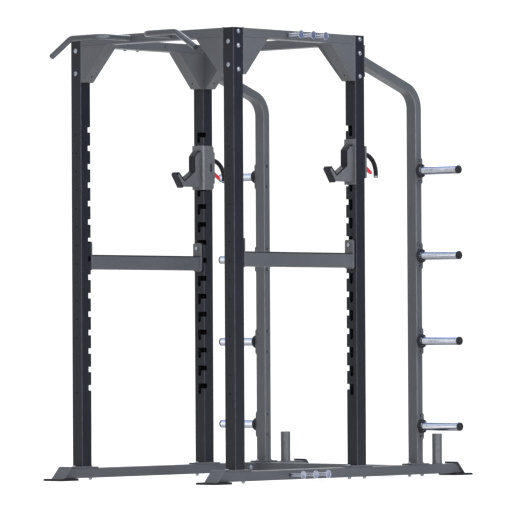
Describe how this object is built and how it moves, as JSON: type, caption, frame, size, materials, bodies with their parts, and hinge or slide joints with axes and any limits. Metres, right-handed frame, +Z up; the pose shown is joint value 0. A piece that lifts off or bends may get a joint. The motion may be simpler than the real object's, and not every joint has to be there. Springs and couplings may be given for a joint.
{
  "type": "power cage",
  "caption": "Floor-standing weight training cage with slotted uprights, lift-off bar hooks and safety bars, pull-up handles and rear plate storage pegs.",
  "frame": {"origin": "centre of the bounding box on the floor", "axes": "+Z up; -Y is the front, where the pull-up handles are; the plate storage is at +Y; +X is the right-hand side"},
  "size_m": [1.805, 2.1812, 2.44],
  "materials": {
    "frame_paint": "textured powder coat",
    "upright_paint": "textured powder coat",
    "bracket_paint": "textured powder coat",
    "grip_paint": "smooth powder coat",
    "foot_paint": "powder coat",
    "black_plastic": "moulded",
    "zinc": "zinc plated",
    "bolt_steel": "dark zinc plated",
    "peg_chrome": "polished",
    "collar_rubber": "moulded",
    "liner_plastic": "machined",
    "handle_grip": "soft sleeve",
    "spring_steel": "drawn wire",
    "trigger_red": "moulded",
    "strip_plastic": "machined"
  },
  "bodies": {
    "frame": {"upright_front_left": "upright_paint", "upright_front_right": "upright_paint", "upright_rear_left": "upright_paint", "upright_rear_right": "upright_paint", "upright_caps": "black_plastic", "base_rail_left": "frame_paint", "base_rail_right": "frame_paint", "rail_end_caps": "frame_paint", "foot_plates": "foot_paint", "base_plates": "frame_paint", "base_crossmember": "frame_paint", "base_bolts": "zinc", "side_beam_left": "frame_paint", "side_beam_right": "frame_paint", "front_beam": "frame_paint", "rear_beam": "frame_paint", "side_gussets": "frame_paint", "cross_gussets": "frame_paint", "frame_bolts": "zinc", "pullup_handle_left": "grip_paint", "pullup_handle_right": "grip_paint", "pullup_plugs": "black_plastic", "band_pegs": "peg_chrome", "storage_post_left": "frame_paint", "storage_post_right": "frame_paint", "storage_plates": "frame_paint", "peg_plates": "frame_paint", "peg_bolts": "bolt_steel", "weight_pegs": "peg_chrome", "peg_collars": "collar_rubber", "peg_caps": "black_plastic", "bar_holders": "frame_paint"},
    "hook_left": {"hook_bracket_left": "bracket_paint", "hook_arm_left": "bracket_paint", "hook_liner_left": "liner_plastic", "hook_studs_left": "zinc", "hook_handle_left": "handle_grip", "trigger_pin_left": "zinc", "trigger_spring_left": "spring_steel"},
    "trigger_left": {"trigger_left": "trigger_red"},
    "latch_left": {"latch_pin_left": "zinc"},
    "safety_left": {"safety_bar_left": "frame_paint", "safety_strip_left": "strip_plastic", "safety_plates_left": "bracket_paint", "safety_pads_left": "liner_plastic", "safety_studs_left": "zinc"},
    "hook_right": {"hook_bracket_right": "bracket_paint", "hook_arm_right": "bracket_paint", "hook_liner_right": "liner_plastic", "hook_studs_right": "zinc", "hook_handle_right": "handle_grip", "trigger_pin_right": "zinc", "trigger_spring_right": "spring_steel"},
    "trigger_right": {"trigger_right": "trigger_red"},
    "latch_right": {"latch_pin_right": "zinc"},
    "safety_right": {"safety_bar_right": "frame_paint", "safety_strip_right": "strip_plastic", "safety_plates_right": "bracket_paint", "safety_pads_right": "liner_plastic", "safety_studs_right": "zinc"}
  },
  "joints": [
    {"name": "hook_lift_left", "type": "slide", "parent": "frame", "child": "hook_left", "axis": [0, 0, 1], "range_m": [0, 0.034]},
    {"name": "trigger_squeeze_left", "type": "hinge", "parent": "hook_left", "child": "trigger_left", "pos_m": [-0.5715, 0.2387, 1.7238], "axis": [1, 0, 0], "range_deg": [0, 22], "stiffness_Nm_per_rad": 0.8, "springref_deg": -17.19},
    {"name": "latch_draw_left", "type": "slide", "parent": "hook_left", "child": "latch_left", "axis": [0, 1, 0], "range_m": [0, 0.008]},
    {"name": "safety_lift_left", "type": "slide", "parent": "frame", "child": "safety_left", "axis": [0, 0, 1], "range_m": [0, 0.034]},
    {"name": "hook_lift_right", "type": "slide", "parent": "frame", "child": "hook_right", "axis": [0, 0, 1], "range_m": [0, 0.034]},
    {"name": "trigger_squeeze_right", "type": "hinge", "parent": "hook_right", "child": "trigger_right", "pos_m": [0.5715, 0.2387, 1.7238], "axis": [1, 0, 0], "range_deg": [0, 22], "stiffness_Nm_per_rad": 0.8, "springref_deg": -17.19},
    {"name": "latch_draw_right", "type": "slide", "parent": "hook_right", "child": "latch_right", "axis": [0, 1, 0], "range_m": [0, 0.008]},
    {"name": "safety_lift_right", "type": "slide", "parent": "frame", "child": "safety_right", "axis": [0, 0, 1], "range_m": [0, 0.034]}
  ],
  "couplings": [
    {"joint": "latch_draw_left", "follows": "trigger_squeeze_left", "m_per_rad": 0.0208},
    {"joint": "latch_draw_right", "follows": "trigger_squeeze_right", "m_per_rad": 0.0208}
  ]
}
